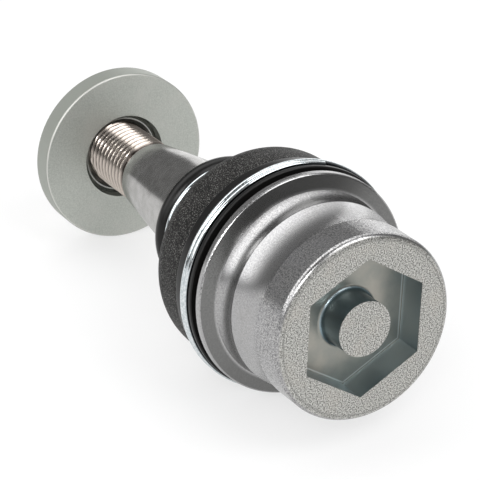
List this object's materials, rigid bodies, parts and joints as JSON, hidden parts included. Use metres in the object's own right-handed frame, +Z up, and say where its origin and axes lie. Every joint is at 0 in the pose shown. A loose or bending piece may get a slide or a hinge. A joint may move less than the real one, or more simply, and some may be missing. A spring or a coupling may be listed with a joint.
{
  "type": "suspension ball joint",
  "caption": "Ball joint: forged housing with a hex socket, rubber boot held by wire rings, and a tapered, threaded ball stud with a thick washer and nut.",
  "frame": {"origin": "centre of the hex end face of the housing", "axes": "+X along the stud, from the hex end face to the thread; +Z up as the joint lies on its side"},
  "size_m": [0.1123, 0.0466, 0.0466],
  "materials": {
    "forged_steel": "shot-blasted zinc-plated forging, fine satin grain",
    "pad_rubber": "plain moulded elastomer",
    "bearing_plastic": "moulded acetal, natural",
    "closing_ring_steel": "turned steel, bare",
    "stud_steel": "ground and polished steel, rolled thread",
    "boot_rubber": "black moulded rubber with a fine speckle",
    "spring_wire": "bright zinc-plated spring wire",
    "sleeve_plastic": "black low-friction plastic",
    "washer_zinc": "matt grey-green zinc flake",
    "nut_zinc": "matt grey zinc flake"
  },
  "bodies": {
    "housing": {"housing": "forged_steel", "preload_pad": "pad_rubber", "lower_bearing_shell": "bearing_plastic", "upper_bearing_shell": "bearing_plastic", "closing_ring": "closing_ring_steel", "boot_large_ring": "spring_wire"},
    "boot": {"dust_boot": "boot_rubber"},
    "boot_end": {"boot_sleeve": "sleeve_plastic", "boot_small_ring": "spring_wire"},
    "stud": {"ball_stud": "stud_steel"},
    "washer": {"washer": "washer_zinc"},
    "nut": {"nut": "nut_zinc"}
  },
  "joints": [
    {"name": "stud_swing", "type": "hinge", "parent": "housing", "child": "boot", "pos_m": [0.0255, 0, 0], "axis": [0, 0, 1], "range_deg": [-18, 18], "deforming": ["dust_boot"]},
    {"name": "stud_tilt", "type": "hinge", "parent": "boot", "child": "boot_end", "pos_m": [0.0255, 0, 0], "axis": [0, 1, 0], "range_deg": [-18, 18], "deforming": ["dust_boot"]},
    {"name": "stud_spin", "type": "hinge", "parent": "boot_end", "child": "stud", "pos_m": [0.0255, 0, 0], "axis": [1, 0, 0], "continuous": true},
    {"name": "washer_travel", "type": "slide", "parent": "stud", "child": "washer", "axis": [-1, 0, 0], "range_m": [-0.006, 0.012]},
    {"name": "nut_turn", "type": "hinge", "parent": "washer", "child": "nut", "pos_m": [0.0964, 0, 0], "axis": [-1, 0, 0], "range_deg": [-1440.5, 2880.5]}
  ],
  "couplings": [
    {"joint": "nut_turn", "follows": "washer_travel", "rad_per_m": 4188.8}
  ]
}
